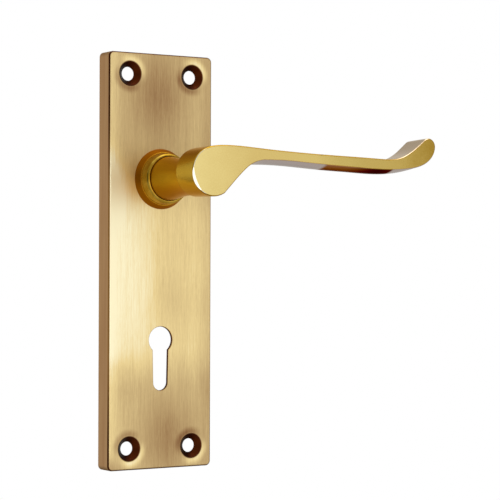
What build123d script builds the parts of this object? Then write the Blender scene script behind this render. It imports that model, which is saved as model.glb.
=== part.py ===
"""Sprung scroll lever handle on a pressed brass lock backplate, one side of a door.

Row frame, in millimetres: +X along the lever, +Y into the door, +Z up. The origin is on the
spindle axis, where it meets the door face. Heights called h are measured from the door face
towards the room, so a plane at height h lies at y = -h.
"""

import math
import os

from build123d import *

# ---------------------------------------------------------------- driving dimensions
LOCK_CENTRES = 57.0  # spindle axis down to keyhole axis, the standard for lever locks

PLATE_WIDTH = 42.0
PLATE_HEIGHT = 147.0
PLATE_DEPTH = 7.25
PLATE_TOP = 44.4  # top edge above the spindle axis
SHEET = 1.0  # wall of the pressed plate
PLATE_CORNER = 1.8
PLATE_EDGE = 0.8  # rounding of the front edge

SCREW_SPACING_X = 25.3
SCREW_SPACING_Z = 131.9
SCREW_HOLE_R = 2.45
COUNTERSINK_R = 4.25
COUNTERSINK_ROLL = 0.5  # rounding where the front face rolls into a countersink
DIMPLE_R = 5.2  # pressed-in metal behind each countersink
DIMPLE_DEPTH = 1.2

KEY_ROUND_R = 4.7
KEY_SLOT_TOP_R = 3.15  # half the slot's width level with the keyhole axis
KEY_SLOT_END_R = 2.85  # and at its round end, as the slot tapers
KEY_DROP = 17.9  # keyhole axis down to the end of the slot
KEY_EDGE = 0.3  # rounding of the keyhole's front edge

COLLAR_R = 10.7
COLLAR_RISE = 5.9
COLLAR_SKIRT = 2.2  # height of the sloping skirt round its foot
COLLAR_SKIRT_R = 9.45
COLLAR_ARRIS = 0.2  # rounding of the skirt's top edge
COLLAR_BARREL_R = 9.25  # tapered barrel standing on the skirt
COLLAR_BARREL = 4.9  # height above the plate where the barrel rounds over
COLLAR_BARREL_TOP_R = 8.95
COLLAR_FACE_R = 8.15
COLLAR_SPIGOT_R = 9.3
COLLAR_LIP = 1.0  # overhang of the riveted lip, and of the bush's flange behind it
COLLAR_MOUTH_R = 7.95
BUSH_R = 8.2  # collar bore, line to line with the bush

SHANK_R = 7.1
RUNNING_GAP = 0.05  # radial clearance of every running fit
NECK_R = 7.8
NECK_MID_R = 6.75
NECK_MID_RISE = 7.5  # height above the collar's face where the neck has that radius
NECK_WAIST_R = 6.4

SPINDLE = 8.0  # square bar, across flats
SPINDLE_IN = 20.5  # height of the spindle's inner end
SPINDLE_OUT = 29.0  # how far the spindle stands behind the door face
SPINDLE_CHAMFER = 0.5
SOCKET_END_GAP = 0.5

GRIP_FRONT = 43.05  # height of the grip's flat face
GRIP_BACK = 31.25
GRIP_EDGE = 0.5
GRIP_TENON_R = 4.8  # tenon of the neck, brazed into the grip
GRIP_TENON_LENGTH = 6.0
HEAD_R = 8.5  # round head of the grip
HEAD_Z = 1.35  # its centre above the spindle axis
HEAD_ARC_END = 120.0  # direction, from the head's centre, where the top edge leaves the round
HEEL_X = 4.5  # where the belly meets the round
BEVEL = 1.0  # widest part of the crescent bevel on the head's front edge
BEVEL_DROP = 0.4  # how far it falls over that width
BEVEL_ANGLE = 202.0  # direction of that widest part from the head's centre
BEVEL_SHIFT = 5.5  # how far the bevel's axis lies from the head's, so that it fades both ways
BEVEL_SPAN = 90.0  # degrees it is cut through
BEVEL_BULGE = 0.05
GRIP_CROWN = 1.4  # bulge of the belly halfway between the front and the back
TIP_R = 3.0  # curled tip
TIP_X = 92.25
TIP_Z = 13.1
CURL_ANGLE = 130.0  # direction, from the tip's centre, where the top edge meets the tip
LEVER_TRAVEL = 45.0  # degrees, level to fully down

HOUSING_WIDTH = 39.6  # fits between the plate's side walls, so it cannot turn
HOUSING_HEIGHT = 36.6
HOUSING_SHEET = 1.0
HOUSING_CORNER = 3.0
COVER_SHEET = 0.8
LEG_TAB_END = 15.6  # tab bent down from the housing, which the fixed spring leg rests on
LEG_TAB_LENGTH = 3.0
LEG_TAB_DROP = 2.2

SPRING_WIRE = 1.0
SPRING_R = 11.4  # mean coil radius
LEG_END_R = 16.0
FIXED_LEG = 98.0  # direction of each spring leg, degrees from +X towards +Z
MOVING_LEG = 60.0
LEG_REST = SPRING_WIRE / 2 + RUNNING_GAP  # from a leg's centreline to the tab it rests on
COIL_POINTS = 41

# ---------------------------------------------------------------- heights in the spring stack
PLATE_INNER = PLATE_DEPTH - SHEET  # the housing lies on this face
HOUSING_INNER = PLATE_INNER - HOUSING_SHEET
LIP_BACK = HOUSING_INNER - 0.6  # collar lip riveted over the housing
COLLAR_FACE = PLATE_DEPTH + COLLAR_RISE
BUSH_FRONT = COLLAR_FACE - 1.7
BUSH_BACK = 2.75
CAM_FRONT = 2.65
CAM_BACK = 1.65
COVER_FRONT = 1.45
COVER_BACK = COVER_FRONT - COVER_SHEET
SHIM_FRONT = 0.55
SHIM_BACK = 0.25
CLIP_FRONT = 0.2
CLIP_BACK = -0.6
SHANK_END = -1.3
SPRING_FRONT = 4.65  # wire centre of the fixed leg
SPRING_BACK = 3.2  # wire centre of the moving leg

# ---------------------------------------------------------------- derived places
PLATE_MID_Z = PLATE_TOP - PLATE_HEIGHT / 2
SHANK_FLAT = SHANK_R - 1.2  # half the width across the shank's two flats
SOCKET = SPINDLE + 2 * RUNNING_GAP
NECK_SHOULDER = BUSH_FRONT + RUNNING_GAP
TENON_TOP = GRIP_BACK + GRIP_TENON_LENGTH
COLLAR_LIP_R = COLLAR_SPIGOT_R + COLLAR_LIP
SLOT_END = -LOCK_CENTRES - KEY_DROP + KEY_SLOT_END_R  # centre of the slot's round end
SLOT_TAPER = math.asin((KEY_SLOT_TOP_R - KEY_SLOT_END_R) / (-LOCK_CENTRES - SLOT_END))

# ---------------------------------------------------------------- grub screw, M4 x 4
GRUB_HEIGHT = 16.0
GRUB_R = 1.95
GRUB_HOLE_R = GRUB_R + RUNNING_GAP
GRUB_OUTER_X = 7.45
GRUB_LENGTH = 4.0
GRUB_CHAMFER = 0.25
GRUB_TIP_R = 1.25
GRUB_TIP = 0.55  # how far the tip reaches into the dimple in the spindle
HEX_FLATS = 2.0
HEX_DEPTH = 2.0

# ---------------------------------------------------------------- cam, rivets, washer and circlip
CAM_R = 10.2
LUG_HALF_WIDTH = 2.5
LUG_REACH = 16.0
CAM_ARM_REACH = 15.4  # arm that carries the tab for the moving spring leg
CAM_ARM_WIDTH = 4.0
CAM_TAB_LENGTH = 2.4
CAM_TAB_THICK = 1.0
CAM_TAB_RISE = 1.4

STOP_R = 2.0  # spacer barrels, two of which stop the cam
STOP_REACH = 13.8
SPACER_TENON_R = 1.2
RIVET_HEAD = 0.5
RIVET_ROUND = 0.35

COVER_HOLE_R = SHANK_R + 0.2
SHIM_R = 9.4
SHIM_HOLE_R = SHANK_R + 0.1
GROOVE_R = 6.6
CLIP_R = 9.0
CLIP_GAP = 3.2
CLIP_EAR_R = 1.7
CLIP_EAR_X = 2.9
CLIP_EAR_Z = 8.4
CLIP_EYE_R = 0.75

# Sketches on this plane have the radius along x and the height h along y.
AXIAL = Plane(origin=(0, 0, 0), x_dir=(1, 0, 0), z_dir=(0, 0, -1))


def at_height(height):
    """The plane parallel to the door at this height: x is the row's X, y is the row's Z."""
    return Plane.XZ.offset(height)


def towards(angle):
    """A frame turned by this angle about the spindle axis, for a sketch on at_height()."""
    return Locations(Location((0, 0, 0), (0, 0, angle)))


def stop_centre(lug_angle, side):
    """Centre of the stop that the cam's lug meets, on the side the angle grows (1) or falls (-1)."""
    along = math.radians(lug_angle)
    across = side * (LUG_HALF_WIDTH + STOP_R + RUNNING_GAP)
    return (
        STOP_REACH * math.cos(along) - across * math.sin(along),
        STOP_REACH * math.sin(along) + across * math.cos(along),
    )


LUG_ANGLE = 270.0
SPACER_CENTRES = [
    stop_centre(LUG_ANGLE, 1),
    stop_centre(LUG_ANGLE - LEVER_TRAVEL, -1),
    (14.6, 14.0),
    (-14.6, 14.0),
]


def slot_side(side, radius, centre_z):
    """Where the keyhole slot's side (-1 left, 1 right) touches a circle of this radius in it."""
    return (
        side * radius * math.cos(SLOT_TAPER),
        centre_z - radius * math.sin(SLOT_TAPER),
    )


def finish(builder, name):
    """Labels a finished piece and writes its STEP file."""
    builder.part.label = name
    export_step(builder.part, f"parts/{name}.step")


os.makedirs("parts", exist_ok=True)

# ---------------------------------------------------------------- backplate
with BuildPart() as backplate:
    with BuildSketch(at_height(0)):
        with Locations((0, PLATE_MID_Z)):
            RectangleRounded(PLATE_WIDTH, PLATE_HEIGHT, PLATE_CORNER)
    extrude(amount=PLATE_DEPTH)
    front = backplate.faces().sort_by(Axis.Y)[0]
    fillet(front.edges(), PLATE_EDGE)
    with BuildSketch(at_height(0)):
        with Locations((0, PLATE_MID_Z)):
            RectangleRounded(
                PLATE_WIDTH - 2 * SHEET,
                PLATE_HEIGHT - 2 * SHEET,
                PLATE_CORNER - SHEET,
            )
    extrude(amount=PLATE_INNER, mode=Mode.SUBTRACT)
    with BuildSketch(at_height(PLATE_INNER)):
        with Locations((0, PLATE_MID_Z)):
            with GridLocations(SCREW_SPACING_X, SCREW_SPACING_Z, 2, 2):
                Circle(DIMPLE_R)
    extrude(amount=-DIMPLE_DEPTH)
    with Locations(at_height(PLATE_DEPTH)):
        with Locations((0, PLATE_MID_Z)):
            with GridLocations(SCREW_SPACING_X, SCREW_SPACING_Z, 2, 2):
                CounterSinkHole(SCREW_HOLE_R, COUNTERSINK_R, PLATE_DEPTH, counter_sink_angle=90)
    rims = backplate.edges().filter_by(GeomType.CIRCLE)
    rims = rims.filter_by(lambda rim: abs(rim.radius - COUNTERSINK_R) < 0.01)
    fillet(rims, COUNTERSINK_ROLL)
    with BuildSketch(at_height(PLATE_DEPTH)):
        Circle(COLLAR_SPIGOT_R)
        with Locations((0, -LOCK_CENTRES)):
            Circle(KEY_ROUND_R)
        with Locations((0, SLOT_END)):
            Circle(KEY_SLOT_END_R)
        with BuildLine():
            Polyline(
                slot_side(-1, KEY_SLOT_TOP_R, -LOCK_CENTRES),
                slot_side(1, KEY_SLOT_TOP_R, -LOCK_CENTRES),
                slot_side(1, KEY_SLOT_END_R, SLOT_END),
                slot_side(-1, KEY_SLOT_END_R, SLOT_END),
                close=True,
            )
        make_face()
    extrude(amount=-PLATE_DEPTH, mode=Mode.SUBTRACT)
    front = backplate.faces().sort_by(Axis.Y)[0]
    key_edges = front.edges().filter_by(lambda edge: abs(edge.center().Z + LOCK_CENTRES) < KEY_DROP)
    fillet(key_edges, KEY_EDGE)
finish(backplate, "backplate")

# ---------------------------------------------------------------- collar
skirt_top = PLATE_DEPTH + COLLAR_SKIRT
barrel_top = PLATE_DEPTH + COLLAR_BARREL
with BuildPart() as collar:
    with BuildSketch(AXIAL):
        with BuildLine():
            Polyline(
                (COLLAR_MOUTH_R, BUSH_FRONT),
                (BUSH_R, BUSH_FRONT),
                (BUSH_R, LIP_BACK),
                (COLLAR_LIP_R, LIP_BACK),
                (COLLAR_LIP_R, HOUSING_INNER),
                (COLLAR_SPIGOT_R, HOUSING_INNER),
                (COLLAR_SPIGOT_R, PLATE_DEPTH),
                (COLLAR_R, PLATE_DEPTH),
                (COLLAR_SKIRT_R, skirt_top),
                (COLLAR_BARREL_R, skirt_top),
                (COLLAR_BARREL_TOP_R, barrel_top),
            )
            TangentArc(
                (COLLAR_BARREL_TOP_R, barrel_top),
                (COLLAR_FACE_R, COLLAR_FACE),
                tangent=(COLLAR_BARREL_TOP_R - COLLAR_BARREL_R, barrel_top - skirt_top),
            )
            Polyline(
                (COLLAR_FACE_R, COLLAR_FACE),
                (COLLAR_MOUTH_R, COLLAR_FACE),
                (COLLAR_MOUTH_R, BUSH_FRONT),
            )
        make_face()
    revolve(axis=Axis.Y)
    arris = collar.edges().filter_by(GeomType.CIRCLE)
    arris = arris.filter_by(lambda edge: abs(edge.radius - COLLAR_SKIRT_R) < 0.01)
    fillet(arris, COLLAR_ARRIS)
finish(collar, "collar")

# ---------------------------------------------------------------- bearing bush, nylon
with BuildPart() as bearing_bush:
    with BuildSketch(at_height(BUSH_BACK)):
        Circle(COLLAR_LIP_R)
    extrude(amount=LIP_BACK - BUSH_BACK)
    with BuildSketch(at_height(LIP_BACK)):
        Circle(BUSH_R)
    extrude(amount=BUSH_FRONT - LIP_BACK)
    with Locations(at_height(BUSH_FRONT)):
        Hole(SHANK_R + RUNNING_GAP)
finish(bearing_bush, "bearing_bush")

# ---------------------------------------------------------------- spring housing, pressed steel
with BuildPart() as spring_housing:
    with BuildSketch(at_height(COVER_FRONT)):
        RectangleRounded(HOUSING_WIDTH, HOUSING_HEIGHT, HOUSING_CORNER)
    extrude(amount=PLATE_INNER - COVER_FRONT)
    with BuildSketch(at_height(COVER_FRONT)):
        RectangleRounded(
            HOUSING_WIDTH - 2 * HOUSING_SHEET,
            HOUSING_HEIGHT - 2 * HOUSING_SHEET,
            HOUSING_CORNER - HOUSING_SHEET,
        )
    extrude(amount=HOUSING_INNER - COVER_FRONT, mode=Mode.SUBTRACT)
    with BuildSketch(at_height(HOUSING_INNER)):
        with towards(FIXED_LEG):
            with Locations((LEG_TAB_END, -LEG_REST)):
                Rectangle(LEG_TAB_LENGTH, HOUSING_SHEET, align=(Align.MAX, Align.MAX))
    extrude(amount=-LEG_TAB_DROP)
    with BuildSketch(at_height(PLATE_INNER)):
        Circle(COLLAR_SPIGOT_R)
        with Locations(*SPACER_CENTRES):
            Circle(SPACER_TENON_R)
    extrude(amount=-2 * HOUSING_SHEET, mode=Mode.SUBTRACT)
finish(spring_housing, "spring_housing")

# ---------------------------------------------------------------- housing cover
with BuildPart() as housing_cover:
    with BuildSketch(at_height(COVER_BACK)):
        RectangleRounded(HOUSING_WIDTH, HOUSING_HEIGHT, HOUSING_CORNER)
        Circle(COVER_HOLE_R, mode=Mode.SUBTRACT)
        with Locations(*SPACER_CENTRES):
            Circle(SPACER_TENON_R, mode=Mode.SUBTRACT)
    extrude(amount=COVER_SHEET)
finish(housing_cover, "housing_cover")

# ---------------------------------------------------------------- spacer rivets, four
with BuildPart() as spacer_rivets:
    with BuildSketch(at_height(COVER_FRONT)):
        with Locations(*SPACER_CENTRES):
            Circle(STOP_R)
    extrude(amount=HOUSING_INNER - COVER_FRONT)
    with BuildSketch(at_height(COVER_BACK)):
        with Locations(*SPACER_CENTRES):
            Circle(SPACER_TENON_R)
    extrude(amount=PLATE_INNER - COVER_BACK)
    with BuildSketch(at_height(COVER_BACK)):
        with Locations(*SPACER_CENTRES):
            Circle(STOP_R)
    extrude(amount=-RIVET_HEAD)
    heads = spacer_rivets.faces().sort_by(Axis.Y)[-len(SPACER_CENTRES) :]
    fillet(heads.edges(), RIVET_ROUND)
finish(spacer_rivets, "spacer_rivets")

# ---------------------------------------------------------------- return spring
turn_to = MOVING_LEG - 360.0
coil_points = []
for point in range(COIL_POINTS):
    share = point / (COIL_POINTS - 1)
    angle = math.radians(FIXED_LEG + share * (turn_to - FIXED_LEG))
    height = SPRING_FRONT + share * (SPRING_BACK - SPRING_FRONT)
    coil_points.append((SPRING_R * math.cos(angle), -height, SPRING_R * math.sin(angle)))


def on_ray(angle, radius, height):
    """The point at this radius and height on a ray from the spindle axis."""
    ray = math.radians(angle)
    return (radius * math.cos(ray), -height, radius * math.sin(ray))


with BuildPart() as return_spring:
    with BuildLine() as coil:
        Spline(*coil_points)
    with BuildSketch(Plane(origin=coil.line @ 0, z_dir=coil.line % 0)):
        Circle(SPRING_WIRE / 2)
    sweep(path=coil.line)
    for leg_angle, leg_height in ((FIXED_LEG, SPRING_FRONT), (MOVING_LEG, SPRING_BACK)):
        bend = on_ray(leg_angle, SPRING_R, leg_height)
        outward = on_ray(leg_angle, 1.0, 0.0)
        with BuildSketch(Plane(origin=bend, z_dir=outward)):
            Circle(SPRING_WIRE / 2)
        extrude(amount=LEG_END_R - SPRING_R)
        with Locations(bend):
            Sphere(SPRING_WIRE / 2)
finish(return_spring, "return_spring")

# ---------------------------------------------------------------- drive cam
with BuildPart() as drive_cam:
    with BuildSketch(at_height(CAM_BACK)):
        Circle(CAM_R)
        with towards(LUG_ANGLE):
            Rectangle(LUG_REACH, 2 * LUG_HALF_WIDTH, align=(Align.MIN, Align.CENTER))
        with towards(MOVING_LEG):
            with Locations((0, LEG_REST)):
                Rectangle(CAM_ARM_REACH, CAM_ARM_WIDTH, align=(Align.MIN, Align.MIN))
        with BuildSketch(mode=Mode.SUBTRACT):
            Circle(SHANK_R + RUNNING_GAP)
            Rectangle(2 * (SHANK_FLAT + RUNNING_GAP), 4 * SHANK_R, mode=Mode.INTERSECT)
    extrude(amount=CAM_FRONT - CAM_BACK)
    with BuildSketch(at_height(CAM_FRONT)):
        with towards(MOVING_LEG):
            with Locations((CAM_ARM_REACH, LEG_REST)):
                Rectangle(CAM_TAB_LENGTH, CAM_TAB_THICK, align=(Align.MAX, Align.MIN))
    extrude(amount=CAM_TAB_RISE)
finish(drive_cam, "drive_cam")

# ---------------------------------------------------------------- shim washer
with BuildPart() as shim_washer:
    with BuildSketch(at_height(SHIM_BACK)):
        Circle(SHIM_R)
        Circle(SHIM_HOLE_R, mode=Mode.SUBTRACT)
    extrude(amount=SHIM_FRONT - SHIM_BACK)
finish(shim_washer, "shim_washer")

# ---------------------------------------------------------------- circlip
with BuildPart() as circlip:
    with BuildSketch(at_height(CLIP_BACK)):
        Circle(CLIP_R)
        with Locations((-CLIP_EAR_X, CLIP_EAR_Z), (CLIP_EAR_X, CLIP_EAR_Z)):
            Circle(CLIP_EAR_R)
        Circle(GROOVE_R + RUNNING_GAP, mode=Mode.SUBTRACT)
        Rectangle(CLIP_GAP, 2 * CLIP_R, align=(Align.CENTER, Align.MIN), mode=Mode.SUBTRACT)
        with Locations((-CLIP_EAR_X, CLIP_EAR_Z), (CLIP_EAR_X, CLIP_EAR_Z)):
            Circle(CLIP_EYE_R, mode=Mode.SUBTRACT)
    extrude(amount=CLIP_FRONT - CLIP_BACK)
finish(circlip, "circlip")

# ---------------------------------------------------------------- neck, with its shank
with BuildPart() as neck:
    with BuildSketch(AXIAL):
        with BuildLine():
            Polyline(
                (NECK_WAIST_R, GRIP_BACK),
                (GRIP_TENON_R, GRIP_BACK),
                (GRIP_TENON_R, TENON_TOP),
                (0, TENON_TOP),
                (0, SHANK_END),
                (SHANK_R, SHANK_END),
                (SHANK_R, NECK_SHOULDER),
                (NECK_R, NECK_SHOULDER),
                (NECK_R, COLLAR_FACE),
            )
            Spline(
                (NECK_R, COLLAR_FACE),
                (NECK_MID_R, COLLAR_FACE + NECK_MID_RISE),
                (NECK_WAIST_R, GRIP_BACK),
                tangents=((-0.12, 1), (0.03, 1)),
            )
        make_face()
    revolve(axis=Axis.Y)
    with BuildSketch(at_height(SHANK_END)):
        Rectangle(SOCKET, SOCKET)
    extrude(amount=SPINDLE_IN + SOCKET_END_GAP - SHANK_END, mode=Mode.SUBTRACT)
    with BuildSketch(at_height(SHANK_END)):
        Rectangle(4 * SHANK_R, 4 * SHANK_R)
        Rectangle(2 * SHANK_FLAT, 4 * SHANK_R, mode=Mode.SUBTRACT)
    extrude(amount=CAM_FRONT - SHANK_END, mode=Mode.SUBTRACT)
    with BuildSketch(at_height(CLIP_BACK)):
        Circle(2 * SHANK_R)
        Circle(GROOVE_R, mode=Mode.SUBTRACT)
    extrude(amount=CLIP_FRONT - CLIP_BACK, mode=Mode.SUBTRACT)
    with BuildSketch(Plane.YZ.offset(SPINDLE / 2)):
        with Locations((-GRUB_HEIGHT, 0)):
            Circle(GRUB_HOLE_R)
    extrude(amount=NECK_R, mode=Mode.SUBTRACT)
finish(neck, "neck")


# ---------------------------------------------------------------- scroll grip
def grip_outline(height, draft, crown, sink):
    """The grip's outline at a height, as a face.

    draft narrows the round head and the top edge, crown is how far the belly bulges at its
    fullest, and sink is how far the curled tip sits below its place on the front face.
    """
    head_r = HEAD_R - draft
    shoulder = (
        head_r * math.cos(math.radians(HEAD_ARC_END)),
        HEAD_Z + head_r * math.sin(math.radians(HEAD_ARC_END)),
    )
    heel = (HEEL_X, HEAD_Z - math.sqrt(head_r**2 - HEEL_X**2))
    tip_z = TIP_Z - sink
    curl = (
        TIP_X + TIP_R * math.cos(math.radians(CURL_ANGLE)),
        tip_z + TIP_R * math.sin(math.radians(CURL_ANGLE)),
    )
    tip = (TIP_X + TIP_R, tip_z)
    waist = (21, 5.9 - crown)
    with BuildSketch(at_height(height)) as face:
        with BuildLine():
            ThreePointArc(heel, (-head_r, HEAD_Z), shoulder)
            Spline(
                shoulder,
                (4.5, 10.55 - draft),
                (18.7, 9.95 - draft),
                (45, 8.65),
                (70, 7.95),
                (79, 8.5 - sink),
                (84.7, 11.2 - 1.6 * sink),
                curl,
                tangents=((0.87, 0.5), (0.77, 0.64)),
                tangent_scalars=(1, 1),
            )
            ThreePointArc(curl, (TIP_X, tip_z + TIP_R), tip)
            Spline(
                tip,
                (94.3, 9.95 - 0.8 * sink),
                (90.5, 6.6 - 0.5 * sink),
                (83, 4.75 - 0.7 * crown),
                (76, 4.2 - crown),
                (61, 4.4 - 1.02 * crown),
                (47, 5.0 - 1.05 * crown),
                waist,
                tangents=((0, -1), (-1, -0.03)),
                tangent_scalars=(1, 1),
            )
            Spline(
                waist,
                (15.9, 4.6 - 0.4 * crown),
                (11.75, 1.45),
                heel,
                tangents=((-1, -0.03), (-0.7, -0.72)),
                tangent_scalars=(1, 1),
            )
        make_face()
    return face.sketch


# The bevel is a cone about an axis moved away from its widest part. Its profile runs on past the
# front face by over and past the head's side by as much again.
widest = math.radians(BEVEL_ANGLE)
bevel_centre = (
    -BEVEL_SHIFT * math.cos(widest),
    0,
    HEAD_Z - BEVEL_SHIFT * math.sin(widest),
)
first = math.radians(BEVEL_ANGLE - BEVEL_SPAN / 2)
bevel_start = (math.cos(first), 0, math.sin(first))
bevel_sweep = (math.sin(first), 0, -math.cos(first))
over = 0.3
drop_over = over * BEVEL_DROP / BEVEL
inner = (HEAD_R + BEVEL_SHIFT - BEVEL - over, GRIP_FRONT + drop_over)
outer = (HEAD_R + BEVEL_SHIFT + over, GRIP_FRONT - BEVEL_DROP - drop_over)
middle = ((inner[0] + outer[0]) / 2, (inner[1] + outer[1]) / 2 + BEVEL_BULGE)

with BuildPart() as scroll_grip:
    sections = [
        grip_outline(GRIP_BACK, draft=0.2, crown=0.0, sink=0.5),
        grip_outline((GRIP_BACK + GRIP_FRONT) / 2, draft=0.1, crown=GRIP_CROWN, sink=0.2),
        grip_outline(GRIP_FRONT, draft=0.0, crown=0.0, sink=0.0),
    ]
    loft(sections)
    flat_faces = scroll_grip.faces().sort_by(Axis.Y)
    fillet(flat_faces[0].edges() + flat_faces[-1].edges(), GRIP_EDGE)
    with BuildSketch(at_height(GRIP_BACK)):
        Circle(GRIP_TENON_R)
    extrude(amount=TENON_TOP - GRIP_BACK, mode=Mode.SUBTRACT)
    with BuildSketch(Plane(origin=bevel_centre, x_dir=bevel_start, z_dir=bevel_sweep)):
        with BuildLine():
            Polyline(inner, (outer[0], inner[1]), outer)
            ThreePointArc(outer, middle, inner)
        make_face()
    revolve(axis=Axis(bevel_centre, (0, -1, 0)), revolution_arc=BEVEL_SPAN, mode=Mode.SUBTRACT)
finish(scroll_grip, "scroll_grip")

# ---------------------------------------------------------------- grub screw, M4 x 4
with BuildPart() as grub_screw:
    with BuildSketch(Plane.YZ.offset(GRUB_OUTER_X)):
        with Locations((-GRUB_HEIGHT, 0)):
            Circle(GRUB_R)
    extrude(amount=GRUB_TIP - GRUB_LENGTH)
    chamfer(grub_screw.edges().filter_by(GeomType.CIRCLE), GRUB_CHAMFER)
    with BuildSketch(Plane.YZ.offset(GRUB_OUTER_X)):
        with Locations((-GRUB_HEIGHT, 0)):
            Circle(GRUB_TIP_R)
    extrude(amount=-GRUB_LENGTH)
    with BuildSketch(Plane.YZ.offset(GRUB_OUTER_X)):
        with Locations((-GRUB_HEIGHT, 0)):
            RegularPolygon(HEX_FLATS / 2, 6, major_radius=False)
    extrude(amount=-HEX_DEPTH, mode=Mode.SUBTRACT)
finish(grub_screw, "grub_screw")

# ---------------------------------------------------------------- spindle
with BuildPart() as spindle:
    with BuildSketch(at_height(-SPINDLE_OUT)):
        Rectangle(SPINDLE, SPINDLE)
    extrude(amount=SPINDLE_OUT + SPINDLE_IN)
    ends = spindle.faces().filter_by(Axis.Y)
    chamfer(ends.edges(), SPINDLE_CHAMFER)
    with BuildSketch(Plane.YZ.offset(SPINDLE / 2)):
        with Locations((-GRUB_HEIGHT, 0)):
            Circle(GRUB_TIP_R + RUNNING_GAP)
    extrude(amount=-GRUB_TIP - RUNNING_GAP, mode=Mode.SUBTRACT)
finish(spindle, "spindle")
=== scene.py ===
"""Looks of the sprung scroll lever handle on its brass backplate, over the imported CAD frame.

Row frame, in metres: +X along the lever, +Y into the door, +Z up, origin on the spindle axis at
the door face. Shader coordinates are in millimetres of the same frame.
"""

import math

import bpy
from mathutils import Matrix, Vector


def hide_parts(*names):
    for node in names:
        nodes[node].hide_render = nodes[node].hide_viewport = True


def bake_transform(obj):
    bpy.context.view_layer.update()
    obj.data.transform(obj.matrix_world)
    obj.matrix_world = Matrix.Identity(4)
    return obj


MM = 0.001

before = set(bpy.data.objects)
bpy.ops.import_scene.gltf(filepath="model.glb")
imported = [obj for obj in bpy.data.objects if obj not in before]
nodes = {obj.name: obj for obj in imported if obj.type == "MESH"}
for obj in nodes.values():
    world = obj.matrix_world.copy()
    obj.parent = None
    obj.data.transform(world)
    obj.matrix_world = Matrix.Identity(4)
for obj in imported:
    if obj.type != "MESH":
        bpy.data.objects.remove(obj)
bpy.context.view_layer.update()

# ---------------------------------------------------------------- dimensions the looks follow
# Lengths are in millimetres. A pair is where a look has faded away, then where it is full.
SCREW_X = 12.65  # screw holes either side of the spindle axis
SCREW_MID_Z = -29.1
SCREW_Z = 65.95  # screw holes above and below the plate's middle
COUNTERSINK_R = 4.3
COUNTERSINK_EDGE = (4.75, COUNTERSINK_R)
SCREW_RIM_INSIDE = (COUNTERSINK_R, 4.9)
SCREW_RIM_OUTSIDE = (7.5, 5.0)
KEYHOLE_SIDE = (6.0, 5.5)
KEYHOLE_TOP = (-50.0, -51.0)
KEYHOLE_END = (-77.0, -76.0)

SKIRT_Y = (-9.5, -9.3)  # the collar's sloping skirt, and the barrel in front of it
SKIRT_R = (9.2, 9.4)
BARREL_BACK_Y = (-9.3, -9.7)
BARREL_FRONT_Y = (-13.6, -13.3)
BARREL_R = (7.85, 8.0)
NECK_Y = (-13.5, -14.5)

GRIP_START_X = -8.0
GRIP_LENGTH = 104.0
HEAD_X = (12, 4)
HEAD_SHEEN_X = (12, 6)
ARM_X = (12, 20)
BEVEL_HIGHLIGHT_X = (-2.5, -4.0)  # the painted highlight on the head's lower-left bevel
DARK_REFLECTION_START_X = (45.5, 47.5)  # the painted dark reflection under the arm
DARK_REFLECTION_END_X = (76.5, 75)
CURL_X = (72, 83)

SPRING_R = 11.4
SPRING_WIRE_R = 0.5
SPRING_LEG_END_R = 16.0
SPRING_BEND = 1.2  # how far from each corner the wire starts to bend
FIXED_LEG_ANGLE = 98.0  # degrees
MOVING_LEG_ANGLE = 60.0
FIXED_LEG_HEIGHT = 4.65
MOVING_LEG_HEIGHT = 3.2
COIL_STEPS = 132
LEG_STEPS = 6
WIRE_SIDES = 20
WIRE_CHAMFER = 0.85  # radius of the wire's cut ends, as a share of its own

# ---------------------------------------------------------------- tones of the plate's front
LIGHTER_BAND_TOP = (14, -18)  # the front is lighter between these heights, partly rubbed brass and partly painted reflection
LIGHTER_BAND_END = (-76, -58)
# The washes lighten the middle band and the left side and darken the right edge, in part as painted
# reflection of the studio light.
PLATE_WASHES = (  # pairs in x, pairs in z, strength
    ((), (LIGHTER_BAND_TOP, LIGHTER_BAND_END), 0.22),
    (((4, -16),), (LIGHTER_BAND_TOP, LIGHTER_BAND_END), 0.2),
    (((-15, -21),), (), 0.12),
    (((14, 21),), (), -0.12),
    (((2, -6),), ((-60, -40),), 0.04),
    (((-8, -20),), ((-66, -72),), 0.1),
)
# The light cloud left of the collar is painted light that offsets the collar's dark reflection; the
# dark clouds above and below the collar are in part painted reflection.
PLATE_CLOUDS = (  # centre (x, z), radii, strength
    ((-2, 29), (20, 26), -0.33),
    ((3, -92), (18, 22), -0.26),
    ((5, -44), (14, 16), -0.08),
    ((-21, -3), (11, 20), 0.42),
    ((-21, -104), (9, 9), -0.4),
)
PLATE_STREAKS = (  # patterns per mm on each axis, size, detail
    ((0.1, 0.1, 0.03), 0.16, 3.0),
    ((1.1, 0.2, 0.03), 0.12, 4.0),
    ((3.2, 1.0, 0.09), 0.26, 3.0),
    ((9.0, 2.0, 0.5), 0.24, 2.0),
)

# ---------------------------------------------------------------- studio
BASE_LIGHT = 0.52
LEAST_LIGHT = 0.04
BEHIND_CARD = ((-0.5, 0.86, 0.0), 0.75, 0.98)
BEHIND_LIGHT = 0.22
CARDS = (  # towards, edge and core as cosines, light added
    ((0.54, -0.84, 0.0), 0.7, 0.95, 0.5),
    ((-0.13, -0.96, -0.2), 0.89, 0.965, 0.75),
    ((0.0, -0.1, 1.0), 0.75, 0.97, 0.4),
    ((-0.98, -0.15, 0.1), 0.85, 0.98, -0.36),
    ((-0.1, 0.83, 0.55), 0.8, 0.97, -0.15),
    ((-0.1, 0.83, -0.55), 0.8, 0.97, -0.24),
    ((0.25, 0.84, -0.48), 0.92, 0.985, -0.15),
)
FLOOR_LEVEL = -0.125  # metres
FLOOR_HALF = 3.0

CAMERA_PLACE = (-0.33934, -0.59196, -0.03038)  # metres
CAMERA_TURN = -32.837  # degrees
CAMERA_TILT = 90.459
CAMERA_ROLL = 0.176
CAMERA_LENS = 137.05
CAMERA_SHIFT = (-0.0019, -0.0004)


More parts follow.
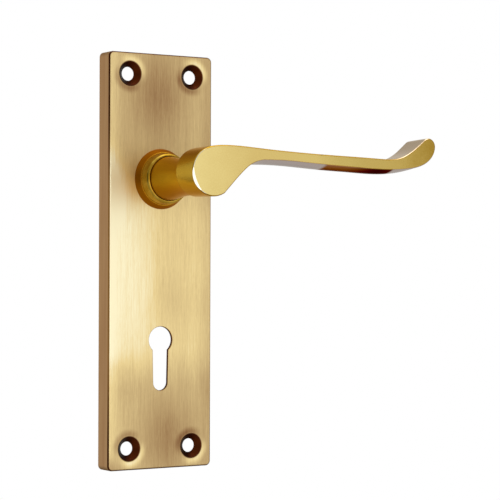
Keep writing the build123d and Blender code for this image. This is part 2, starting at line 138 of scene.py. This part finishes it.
# ---------------------------------------------------------------- shader helpers
def srgb(red, green, blue):
    """Linear RGBA of a colour given in 0 to 255 display values."""
    out = []
    for part in (red, green, blue):
        value = part / 255
        out.append(value / 12.92 if value <= 0.04045 else ((value + 0.055) / 1.055) ** 2.4)
    return (*out, 1.0)


WHITE = (1, 1, 1, 1)
GLANCING_BRASS = srgb(242, 226, 200)  # what the polished brass turns to at a glancing angle


class Shader:
    """Adds nodes to one node tree."""

    def __init__(self, tree):
        self.tree = tree
        tree.nodes.clear()

    def add(self, kind, values=None, **settings):
        node = self.tree.nodes.new(kind)
        for name, value in settings.items():
            setattr(node, name, value)
        for name, value in (values or {}).items():
            if isinstance(value, bpy.types.NodeSocket):
                self.tree.links.new(value, node.inputs[name])
            else:
                node.inputs[name].default_value = value
        return node

    def math(self, operation, first, second=0.0, clamp=False):
        terms = {0: first, 1: second}
        node = self.add("ShaderNodeMath", terms, operation=operation, use_clamp=clamp)
        return node.outputs[0]

    def total(self, *terms):
        out = terms[0]
        for term in terms[1:]:
            out = self.math("ADD", out, term)
        return out

    def product(self, *terms):
        out = terms[0]
        for term in terms[1:]:
            out = self.math("MULTIPLY", out, term)
        return out

    def clamped(self, value):
        """The value, kept from 0 to 1."""
        return self.math("ADD", value, 0.0, clamp=True)

    def ramp(self, value, zero_at, one_at):
        """0 at zero_at and 1 at one_at, soft at both ends."""
        places = {"Value": value, "From Min": zero_at, "From Max": one_at}
        node = self.add("ShaderNodeMapRange", places, interpolation_type="SMOOTHSTEP")
        return node.outputs["Result"]

    def spot(self, across, along, centre, radii):
        """1 at the centre of an ellipse, falling softly to 0 at its rim."""
        first = self.math("DIVIDE", self.math("SUBTRACT", across, centre[0]), radii[0])
        second = self.math("DIVIDE", self.math("SUBTRACT", along, centre[1]), radii[1])
        square = self.total(self.product(first, first), self.product(second, second))
        return self.ramp(self.math("SQRT", square), 1.0, 0.0)

    def noise(self, vector, scale, detail=3.0, roughness=0.5, distortion=0.0):
        """Noise from 0 to 1, with a scale for each axis in patterns per millimetre."""
        placed = self.add("ShaderNodeMapping", {"Vector": vector, "Scale": scale}).outputs[0]
        values = {
            "Vector": placed,
            "Scale": 1.0,
            "Detail": detail,
            "Roughness": roughness,
            "Distortion": distortion,
        }
        return self.add("ShaderNodeTexNoise", values).outputs["Fac"]

    def wobble(self, vector, scale, size, **settings):
        """Noise about 0, up to about half of size either way."""
        return self.product(self.math("SUBTRACT", self.noise(vector, scale, **settings), 0.5), size)

    def colours(self, value, stops):
        """A colour along stops of (place, colour)."""
        node = self.add("ShaderNodeValToRGB", {"Fac": value})
        band = node.color_ramp
        band.elements[0].position, band.elements[0].color = stops[0]
        band.elements[1].position, band.elements[1].color = stops[-1]
        for place, colour in stops[1:-1]:
            band.elements.new(place).color = colour
        return node.outputs["Color"]

    def mix(self, share, first, second):
        values = {"Factor": share, 6: first, 7: second}
        node = self.add("ShaderNodeMix", values, data_type="RGBA", clamp_factor=True)
        return node.outputs[2]


def new_material(name):
    """A material with its shader, its position in millimetres and its own normal."""
    material = bpy.data.materials.new(name)
    material.use_nodes = True
    shader = Shader(material.node_tree)
    place = shader.add("ShaderNodeTexCoord")
    to_mm = {"Vector": place.outputs["Object"], "Scale": (1 / MM,) * 3}
    position = shader.add("ShaderNodeMapping", to_mm).outputs[0]
    return material, shader, position, place.outputs["Normal"]


def end_material(shader, colour, roughness, height, metallic=1.0, bump=0.3, bump_mm=0.02, **extra):
    """Joins the colour, roughness and relief to one surface."""
    values = {"Strength": bump, "Distance": bump_mm * MM, "Height": height}
    relief = shader.add("ShaderNodeBump", values).outputs[0]
    surface = {
        "Base Color": colour,
        "Roughness": roughness,
        "Metallic": metallic,
        "Normal": relief,
    }
    surface.update(extra)
    made = shader.add("ShaderNodeBsdfPrincipled", surface)
    shader.add("ShaderNodeOutputMaterial", {"Surface": made.outputs[0]})


def axes(shader, vector):
    """The three parts of a vector."""
    return shader.add("ShaderNodeSeparateXYZ", {0: vector}).outputs


# ---------------------------------------------------------------- backplate: brushed antique brass
def plate_brass():
    material, shader, position, normal = new_material("plate_brass")
    x, _, z = axes(shader, position)
    nx, ny, _ = axes(shader, normal)
    outward = shader.product(ny, -1.0)

    # the lacquered tone of the front: broad washes and soft clouds, in part painted light and
    # painted reflection, and brushed streaks
    tone = 0.5
    for across_pairs, along_pairs, strength in PLATE_WASHES:
        reaches = [shader.ramp(x, *pair) for pair in across_pairs]
        reaches += [shader.ramp(z, *pair) for pair in along_pairs]
        tone = shader.total(tone, shader.product(*reaches, strength))
    for centre, radii, strength in PLATE_CLOUDS:
        cloud = shader.spot(x, z, centre, radii)
        tone = shader.total(tone, shader.product(cloud, strength))
    for scale, size, detail in PLATE_STREAKS:
        tone = shader.total(tone, shader.wobble(position, scale, size, detail=detail))

    # each screw hole has a rolled rim, with a painted highlight on its outer side and painted shade
    # towards the plate's middle
    side = shader.math("SIGN", x)
    level = shader.math("SUBTRACT", z, SCREW_MID_Z)
    half = shader.math("SIGN", level)
    across = shader.math("SUBTRACT", x, shader.product(side, SCREW_X))
    along = shader.math("SUBTRACT", level, shader.product(half, SCREW_Z))
    squares = shader.total(shader.product(across, across), shader.product(along, along))
    reach = shader.math("SQRT", squares)
    facing = shader.math(
        "DIVIDE",
        shader.total(shader.product(across, 0.6), shader.product(along, half, 0.8)),
        shader.math("MAXIMUM", reach, 0.1),
    )
    rim = shader.product(
        shader.ramp(reach, *SCREW_RIM_INSIDE), shader.ramp(reach, *SCREW_RIM_OUTSIDE)
    )
    tone = shader.total(
        tone,
        shader.product(rim, shader.ramp(facing, 0.0, 0.9), 0.35),
        shader.product(rim, shader.ramp(facing, 0.1, -0.9), -0.3),
    )
    front = shader.colours(
        shader.clamped(tone),
        (
            (0.0, srgb(135, 98, 66)),
            (0.2, srgb(166, 135, 96)),
            (0.5, srgb(203, 178, 131)),
            (0.75, srgb(236, 214, 158)),
            (1.0, srgb(255, 247, 214)),
        ),
    )

    # the sides and the back are painted brown, darker than the front, in part as painted shade; the
    # rounded edges are darkest, except in the middle band of the plate's height
    grain = shader.wobble(position, (0.6, 0.6, 0.03), 1.0, detail=3)
    side_tone = shader.clamped(shader.total(0.5, grain))
    brown = shader.mix(side_tone, srgb(176, 124, 66), srgb(204, 162, 100))
    edge_mid_band = shader.product(shader.ramp(z, 24, -10), shader.ramp(z, -96, -60))
    edge_dark = shader.mix(edge_mid_band, srgb(78, 34, 12), srgb(190, 140, 80))
    in_edge = shader.product(shader.ramp(outward, 0.08, 0.25), shader.ramp(outward, 0.96, 0.8))
    brown = shader.mix(in_edge, brown, edge_dark)
    colour = shader.mix(shader.ramp(outward, 0.82, 0.975), brown, front)

    # the countersinks are antiqued, with painted light on the side that faces left; the keyhole's
    # wall and the back around it are dark brown
    patina = shader.wobble(position, (1.5, 1.5, 1.5), 0.4)
    sink_tone_and_light = shader.clamped(shader.total(0.4, shader.product(nx, -0.55), patina))
    sink = shader.mix(sink_tone_and_light, srgb(28, 10, 5), srgb(104, 46, 18))
    in_sink = shader.ramp(reach, *COUNTERSINK_EDGE)
    colour = shader.mix(in_sink, colour, sink)
    in_keyhole = shader.product(
        shader.ramp(shader.math("ABSOLUTE", x), *KEYHOLE_SIDE),
        shader.ramp(z, *KEYHOLE_TOP),
        shader.ramp(z, *KEYHOLE_END),
        shader.ramp(outward, 0.6, 0.3),
    )
    colour = shader.mix(in_keyhole, colour, srgb(74, 40, 24))

    streaks = shader.noise(position, (14.0, 2.0, 0.25), detail=3)
    roughness = shader.total(0.34, shader.product(streaks, 0.12))
    end_material(shader, colour, roughness, streaks, bump=0.25, bump_mm=0.02)
    return material


# ---------------------------------------------------------------- turned collar and neck
def polished_brass():
    material, shader, position, normal = new_material("polished_brass")
    x, y, z = axes(shader, position)
    _, _, nz = axes(shader, normal)
    radius = shader.math("SQRT", shader.total(shader.product(x, x), shader.product(z, z)))
    turned = shader.add("ShaderNodeCombineXYZ", {0: radius, 1: y, 2: 0.0}).outputs[0]
    rings = shader.noise(turned, (5.0, 7.0, 1.0), detail=4)
    tone = shader.total(
        0.45,
        shader.product(shader.math("SUBTRACT", rings, 0.5), 0.35),
        shader.wobble(position, (0.25, 0.12, 0.25), 0.5),
    )
    gold = shader.colours(
        tone,
        (
            (0.0, srgb(168, 112, 14)),
            (0.5, srgb(192, 142, 26)),
            (1.0, srgb(214, 172, 50)),
        ),
    )
    # painted reflection and light: the neck is painted deeper below, where it mirrors the bright
    # plate, and painted lighter above
    on_neck = shader.ramp(y, *NECK_Y)
    below = shader.product(on_neck, shader.ramp(nz, -0.1, -0.7), 0.7)
    gold = shader.mix(below, gold, srgb(160, 98, 4))
    above = shader.product(on_neck, shader.ramp(nz, 0.0, 0.6), 0.7)
    gold = shader.mix(above, gold, srgb(232, 180, 44))
    # the collar's skirt is darker and rougher, and the barrel above it is paler
    barrel = shader.product(
        shader.ramp(y, *BARREL_BACK_Y),
        shader.ramp(y, *BARREL_FRONT_Y),
        shader.ramp(radius, *BARREL_R),
    )
    shade = shader.ramp(shader.wobble(position, (0.35, 0.35, 0.35), 1.0, detail=4), -0.2, 0.2)
    pale = shader.mix(shade, srgb(172, 136, 40), srgb(204, 172, 76))
    gold = shader.mix(shader.product(barrel, 0.75), gold, pale)
    skirt_dark = shader.product(shader.ramp(y, *SKIRT_Y), shader.ramp(radius, *SKIRT_R))
    colour = shader.mix(skirt_dark, gold, srgb(170, 104, 12))
    roughness = shader.total(0.16, shader.product(rings, 0.1), shader.product(skirt_dark, 0.2))
    extra = {"Specular Tint": GLANCING_BRASS}
    end_material(shader, colour, roughness, rings, bump=0.2, bump_mm=0.01, **extra)
    return material


# ---------------------------------------------------------------- grip: satin face, polished sides
def satin_brass():
    material, shader, position, normal = new_material("satin_brass")
    x, _, z = axes(shader, position)
    nx, ny, nz = axes(shader, normal)
    outward = shader.product(ny, -1.0)
    flat = shader.ramp(outward, 0.9, 0.985)

    # The face darkens along the grip towards the curl; in part this is painted light, standing in
    # for the changing light the face mirrors.
    from_start = shader.math("SUBTRACT", x, GRIP_START_X)
    along = shader.math("DIVIDE", from_start, GRIP_LENGTH, clamp=True)
    face_tone = shader.total(
        along,
        shader.wobble(position, (0.12, 0.12, 0.12), 0.16),
        shader.wobble(position, (2.6, 1.0, 2.6), 0.3, detail=3),
    )
    face = shader.colours(
        shader.clamped(face_tone),
        (
            (0.0, srgb(233, 214, 146)),
            (0.25, srgb(215, 191, 121)),
            (0.45, srgb(216, 194, 122)),
            (0.65, srgb(197, 175, 102)),
            (0.82, srgb(194, 169, 94)),
            (1.0, srgb(165, 134, 54)),
        ),
    )
    side_tone = shader.total(
        0.5,
        shader.wobble(position, (0.2, 0.2, 0.2), 0.5),
        shader.wobble(position, (0.8, 4.0, 0.8), 0.2),
    )
    sides = shader.mix(side_tone, srgb(196, 148, 34), srgb(212, 170, 54))
    # Painted reflection: the head is painted deeper gold where it faces down.
    head_reflection_below = shader.product(shader.ramp(nz, -0.1, -0.6), shader.ramp(x, *HEAD_X), 0.75)
    sides = shader.mix(head_reflection_below, sides, srgb(160, 112, 6))
    # painted reflection: the arm's underside is painted greyer, with a long dark patch of painted
    # reflection, and the top of the curl is painted pale beige
    under = shader.product(shader.ramp(nz, -0.25, -0.7), shader.ramp(x, *ARM_X))
    dark_reflection_patch = shader.product(shader.ramp(x, *DARK_REFLECTION_START_X), shader.ramp(x, *DARK_REFLECTION_END_X))
    dark_reflection_tone = shader.spot(x, z, (70, 3), (16, 9))
    dark_reflection_colour = shader.mix(dark_reflection_tone, srgb(196, 140, 104), srgb(92, 44, 34))
    underside_reflection = shader.mix(dark_reflection_patch, srgb(212, 196, 194), dark_reflection_colour)
    sides = shader.mix(under, sides, underside_reflection)
    curl_reflection = shader.product(
        shader.ramp(nz, 0.3, 0.6), shader.ramp(x, *CURL_X), shader.ramp(nx, 0.1, -0.2)
    )
    sides = shader.mix(curl_reflection, sides, srgb(250, 224, 192))
    colour = shader.mix(flat, sides, face)
    # A painted highlight: the bevel on the head's lower left is painted near white.
    bevel = shader.product(
        shader.ramp(outward, 0.78, 0.86),
        shader.ramp(outward, 0.965, 0.945),
        shader.ramp(x, *BEVEL_HIGHLIGHT_X),
    )
    colour = shader.mix(bevel, colour, srgb(255, 252, 240))
    grain = shader.noise(position, (16.0, 4.0, 16.0), detail=2)
    satin = shader.total(0.32, shader.product(grain, 0.14))
    roughness = shader.add("ShaderNodeMix", {0: flat, 2: 0.17, 3: satin}).outputs[0]
    # metal turns white at a glancing angle, except on the head and on the painted dark reflection
    # under the arm
    glancing = shader.mix(shader.ramp(x, *HEAD_SHEEN_X), WHITE, GLANCING_BRASS)
    glancing = shader.mix(shader.product(under, dark_reflection_patch), glancing, srgb(156, 118, 98))
    extra = {"Specular Tint": glancing}
    end_material(shader, colour, roughness, grain, bump=0.2, bump_mm=0.012, **extra)
    return material


# ---------------------------------------------------------------- hidden mechanism
def plated_steel():
    material, shader, position, _ = new_material("zinc_steel")
    cloud = shader.noise(position, (0.25, 0.25, 0.25), detail=5, roughness=0.6, distortion=0.6)
    spangle = shader.noise(position, (1.6, 1.6, 1.6), detail=2, distortion=1.0)
    tone = shader.total(shader.product(cloud, 0.7), shader.product(spangle, 0.3))
    colour = shader.colours(
        tone,
        (
            (0.25, srgb(148, 150, 150)),
            (0.5, srgb(186, 188, 190)),
            (0.62, srgb(200, 196, 180)),
            (0.8, srgb(214, 216, 220)),
        ),
    )
    scratch = shader.noise(position, (9.0, 9.0, 0.5), detail=3)
    roughness = shader.total(0.26, shader.product(cloud, 0.18))
    end_material(shader, colour, roughness, scratch, bump=0.25, bump_mm=0.02)
    return material


def oiled_wire():
    material, shader, position, _ = new_material("spring_steel")
    smear = shader.noise(position, (0.5, 0.8, 0.5), detail=4)
    drawn = shader.noise(position, (2.0, 12.0, 2.0), detail=2)
    colour = shader.colours(
        smear,
        (
            (0.3, srgb(88, 84, 84)),
            (0.55, srgb(126, 124, 126)),
            (0.75, srgb(120, 104, 84)),
        ),
    )
    roughness = shader.total(0.22, shader.product(smear, 0.2))
    end_material(shader, colour, roughness, drawn, bump=0.25, bump_mm=0.02)
    return material


def black_oxide():
    material, shader, position, _ = new_material("black_steel")
    mottle = shader.noise(position, (1.8, 1.8, 1.8), detail=4)
    colour = shader.colours(
        mottle,
        (
            (0.3, srgb(24, 24, 27)),
            (0.6, srgb(44, 43, 46)),
            (0.8, srgb(70, 64, 60)),
        ),
    )
    roughness = shader.total(0.36, shader.product(mottle, 0.2))
    end_material(shader, colour, roughness, mottle, metallic=0.7, bump=0.3, bump_mm=0.02)
    return material


def moulded_nylon():
    material, shader, position, _ = new_material("nylon")
    mottle = shader.noise(position, (0.35, 0.35, 0.35), detail=3)
    texture = shader.noise(position, (6.0, 6.0, 6.0), detail=2)
    colour = shader.mix(mottle, srgb(228, 224, 208), srgb(242, 239, 228))
    roughness = shader.total(0.5, shader.product(texture, 0.15))
    end_material(shader, colour, roughness, texture, metallic=0.0, bump=0.3, bump_mm=0.03)
    return material


# ---------------------------------------------------------------- return spring, which winds up
def on_ray(angle, radius, height):
    """The point on a ray from the spindle axis, in metres of the row frame."""
    return Vector((radius * math.cos(angle), -height, radius * math.sin(angle))) * MM


def bend(before, corner, after, steps=8):
    """Points of a soft bend that starts at before and ends at after."""
    points = []
    for step in range(1, steps):
        share = step / steps
        first = before.lerp(corner, share)
        points.append(first.lerp(corner.lerp(after, share), share))
    return points


def spring_path():
    """The centre line of the wire: fixed leg, just over one coil, moving leg."""
    start = math.radians(FIXED_LEG_ANGLE)
    end = math.radians(MOVING_LEG_ANGLE) - 2 * math.pi
    turn = SPRING_BEND / SPRING_R
    coil = []
    for step in range(COIL_STEPS + 1):
        angle = start - turn + (end - start + 2 * turn) * step / COIL_STEPS
        share = (start - angle) / (start - end)
        height = FIXED_LEG_HEIGHT + (MOVING_LEG_HEIGHT - FIXED_LEG_HEIGHT) * share
        coil.append(on_ray(angle, SPRING_R, height))
    fixed_end = on_ray(start, SPRING_LEG_END_R, FIXED_LEG_HEIGHT)
    fixed_in = on_ray(start, SPRING_R + SPRING_BEND, FIXED_LEG_HEIGHT)
    fixed_corner = on_ray(start, SPRING_R, FIXED_LEG_HEIGHT)
    moving_end = on_ray(end, SPRING_LEG_END_R, MOVING_LEG_HEIGHT)
    moving_in = on_ray(end, SPRING_R + SPRING_BEND, MOVING_LEG_HEIGHT)
    moving_corner = on_ray(end, SPRING_R, MOVING_LEG_HEIGHT)
    shares = [step / LEG_STEPS for step in range(LEG_STEPS + 1)]
    fixed_leg = [fixed_end.lerp(fixed_in, share) for share in shares]
    moving_leg = [moving_in.lerp(moving_end, share) for share in shares]
    return (
        fixed_leg
        + bend(fixed_in, fixed_corner, coil[0])
        + coil
        + bend(coil[-1], moving_corner, moving_in)
        + moving_leg
    )


def tube(name, path, radius, sides=WIRE_SIDES, cut=WIRE_CHAMFER):
    """A round wire along a path, its cut ends slightly chamfered."""
    rings = []
    across = None
    for place, point in enumerate(path):
        ahead = path[min(place + 1, len(path) - 1)] - path[max(place - 1, 0)]
        ahead.normalize()
        if across is None:
            across = ahead.orthogonal().normalized()
        across = (across - ahead * across.dot(ahead)).normalized()
        up = ahead.cross(across)
        rings.append((point, across, up, radius))
    for end, step in ((0, 1), (-1, -1)):
        point, side, up, _ = rings[end]
        outward = (path[end] - path[end + step]).normalized()
        bevel = (1 - cut) * radius
        cap = (point, side, up, radius * cut)
        rings[end] = (point - outward * bevel, side, up, radius)
        rings.insert(0 if end == 0 else len(rings), cap)
    vertices = []
    for point, side, up, size in rings:
        for step in range(sides):
            angle = 2 * math.pi * step / sides
            vertices.append(point + side * (size * math.cos(angle)) + up * (size * math.sin(angle)))
    faces = []
    for ring in range(len(rings) - 1):
        for step in range(sides):
            after = (step + 1) % sides
            here = ring * sides
            above = here + sides
            faces.append((here + step, here + after, above + after, above + step))
    last = (len(rings) - 1) * sides
    faces.append(tuple(reversed(range(sides))))
    faces.append(tuple(range(last, last + sides)))
    mesh = bpy.data.meshes.new(name)
    mesh.from_pydata(vertices, [], faces)
    mesh.polygons.foreach_set("use_smooth", [True] * (len(faces) - 2) + [False] * 2)
    mesh.update()
    piece = bpy.data.objects.new(name, mesh)
    bpy.context.scene.collection.objects.link(piece)
    return piece


spring = tube("return_spring_wire", spring_path(), SPRING_WIRE_R * MM)
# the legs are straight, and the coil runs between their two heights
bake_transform(spring)
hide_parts("return_spring")

# ---------------------------------------------------------------- materials on the pieces
looks = {
    "plate_brass": plate_brass(),
    "polished_brass": polished_brass(),
    "satin_brass": satin_brass(),
    "zinc_steel": plated_steel(),
    "spring_steel": oiled_wire(),
    "black_steel": black_oxide(),
    "nylon": moulded_nylon(),
}
finishes = {
    "plate_brass": ["backplate"],
    "polished_brass": ["collar", "neck"],
    "satin_brass": ["scroll_grip"],
    "zinc_steel": [
        "spring_housing",
        "housing_cover",
        "spacer_rivets",
        "drive_cam",
        "shim_washer",
        "spindle",
    ],
    "black_steel": ["circlip", "grub_screw"],
    "nylon": ["bearing_bush"],
}
for finish, members in finishes.items():
    for member in members:
        piece = nodes[member]
        piece.data.materials.clear()
        piece.data.materials.append(looks[finish])
spring.data.materials.append(looks["spring_steel"])


# ---------------------------------------------------------------- floor
def make_floor():
    """A plain white floor below the object, not seen from underneath."""
    around = ((-1, -1), (1, -1), (1, 1), (-1, 1))
    corners = [(FLOOR_HALF * x, FLOOR_HALF * y, FLOOR_LEVEL) for x, y in around]
    mesh = bpy.data.meshes.new("floor")
    mesh.from_pydata(corners, [], [(0, 1, 2, 3)])
    floor = bpy.data.objects.new("floor", mesh)
    bpy.context.scene.collection.objects.link(floor)
    material = bpy.data.materials.new("floor_white")
    material.use_nodes = True
    shader = Shader(material.node_tree)
    glow = shader.add("ShaderNodeEmission", {"Color": WHITE, "Strength": 1.0}).outputs[0]
    clear = shader.add("ShaderNodeBsdfTransparent").outputs[0]
    under = shader.add("ShaderNodeNewGeometry").outputs["Backfacing"]
    surface = shader.add("ShaderNodeMixShader", {0: under, 1: glow, 2: clear}).outputs[0]
    shader.add("ShaderNodeOutputMaterial", {"Surface": surface})
    mesh.materials.append(material)
    floor.visible_glossy = False
    floor.visible_diffuse = False
    floor.visible_shadow = False


make_floor()


# ---------------------------------------------------------------- studio light
def studio_world():
    """White to the camera, and a soft studio of light and dark cards to the metal."""
    world = bpy.data.worlds.new("studio")
    bpy.context.scene.world = world
    world.use_nodes = True
    shader = Shader(world.node_tree)
    direction = shader.add("ShaderNodeTexCoord").outputs["Generated"]

    def card(towards, edge, core):
        """1 within core of a direction and 0 beyond edge, both as cosines."""
        aim = Vector(towards).normalized()
        values = {0: direction, 1: aim}
        dot = shader.add("ShaderNodeVectorMath", values, operation="DOT_PRODUCT").outputs["Value"]
        return shader.ramp(dot, edge, core)

    behind = card(*BEHIND_CARD)
    cards = [shader.product(card(*shape), added) for *shape, added in CARDS]
    strength = shader.total(BASE_LIGHT, shader.product(behind, BEHIND_LIGHT), *cards)
    strength = shader.math("MAXIMUM", strength, LEAST_LIGHT)
    tint = shader.mix(behind, (1.0, 0.975, 0.9, 1), (0.95, 0.98, 1.15, 1))
    light = shader.add("ShaderNodeBackground", {"Color": tint, "Strength": strength})
    white = shader.add("ShaderNodeBackground", {"Color": WHITE, "Strength": 1.0})
    seen = shader.add("ShaderNodeLightPath").outputs["Is Camera Ray"]
    mixed = {0: seen, 1: light.outputs[0], 2: white.outputs[0]}
    surface = shader.add("ShaderNodeMixShader", mixed).outputs[0]
    shader.add("ShaderNodeOutputWorld", {"Surface": surface})


def soft_light(name, place, aim, size, watts):
    """A large square area light, which the camera doesn't see."""
    data = bpy.data.lights.new(name, "AREA")
    data.shape = "SQUARE"
    data.size = size
    data.energy = watts
    light = bpy.data.objects.new(name, data)
    bpy.context.scene.collection.objects.link(light)
    light.location = place
    light.rotation_mode = "QUATERNION"
    light.rotation_quaternion = (Vector(aim) - Vector(place)).to_track_quat("-Z", "Y")
    light.visible_camera = False


studio_world()
soft_light("overhead", place=(0.5, -0.3, 1.3), aim=(0, 0, 0), size=1.0, watts=4.0)


# ---------------------------------------------------------------- camera
def make_camera():
    data = bpy.data.cameras.new("view")
    data.sensor_width = 36.0
    data.lens = CAMERA_LENS
    data.shift_x, data.shift_y = CAMERA_SHIFT
    data.clip_start = 0.01
    data.clip_end = 20.0
    camera = bpy.data.objects.new("view", data)
    bpy.context.scene.collection.objects.link(camera)
    turn = Matrix.Rotation(math.radians(CAMERA_TURN), 4, "Z")
    tilt = Matrix.Rotation(math.radians(CAMERA_TILT), 4, "X")
    roll = Matrix.Rotation(math.radians(CAMERA_ROLL), 4, "Z")
    camera.matrix_world = Matrix.Translation(CAMERA_PLACE) @ turn @ tilt @ roll
    bpy.context.scene.camera = camera


make_camera()
bpy.context.scene.view_settings.view_transform = "Standard"
bpy.context.scene.view_settings.look = "None"
